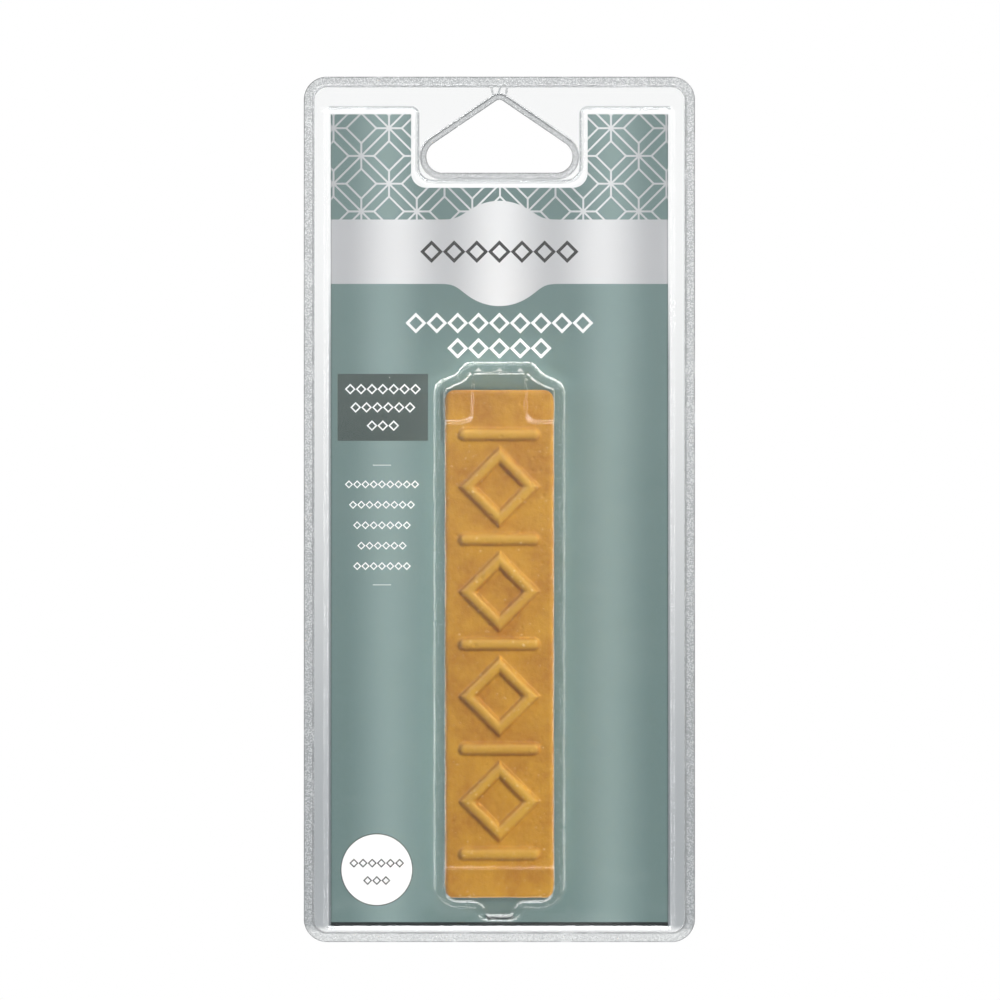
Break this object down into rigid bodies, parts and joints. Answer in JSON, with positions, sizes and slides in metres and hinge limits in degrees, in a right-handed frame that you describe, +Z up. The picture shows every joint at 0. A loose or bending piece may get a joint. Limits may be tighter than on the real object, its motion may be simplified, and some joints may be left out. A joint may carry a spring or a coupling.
{
  "type": "furniture repair wax stick in blister pack",
  "caption": "Cast wax repair bar with a raised lozenge pattern, sealed with a folded printed card in a clear welded blister pack that hangs from a peg by its hang hole.",
  "frame": {"origin": "top of the hang hole, on the rear face of the pack, where a peg hook carries it", "axes": "+Z up the pack, +Y out of its rear face, so the front faces -Y; +X to the right seen from the front"},
  "size_m": [0.09, 0.0214, 0.1991],
  "materials": {
    "clear_sheet": "clear glossy thermoformed film with a knurled weld",
    "card": "coated board printed grey-green with a silver lattice and band",
    "label": "matt white paper",
    "wax": "satin cast ochre wax, slightly mottled and pitted"
  },
  "bodies": {
    "pack": {"front_blister": "clear_sheet", "back_sheet": "clear_sheet", "printed_card": "card", "shade_label": "label"},
    "stick": {"wax_stick": "wax"}
  },
  "joints": [
    {"name": "stick_slide", "type": "slide", "parent": "pack", "child": "stick", "axis": [0, 0, 1], "range_m": [0, 0.0005]}
  ]
}
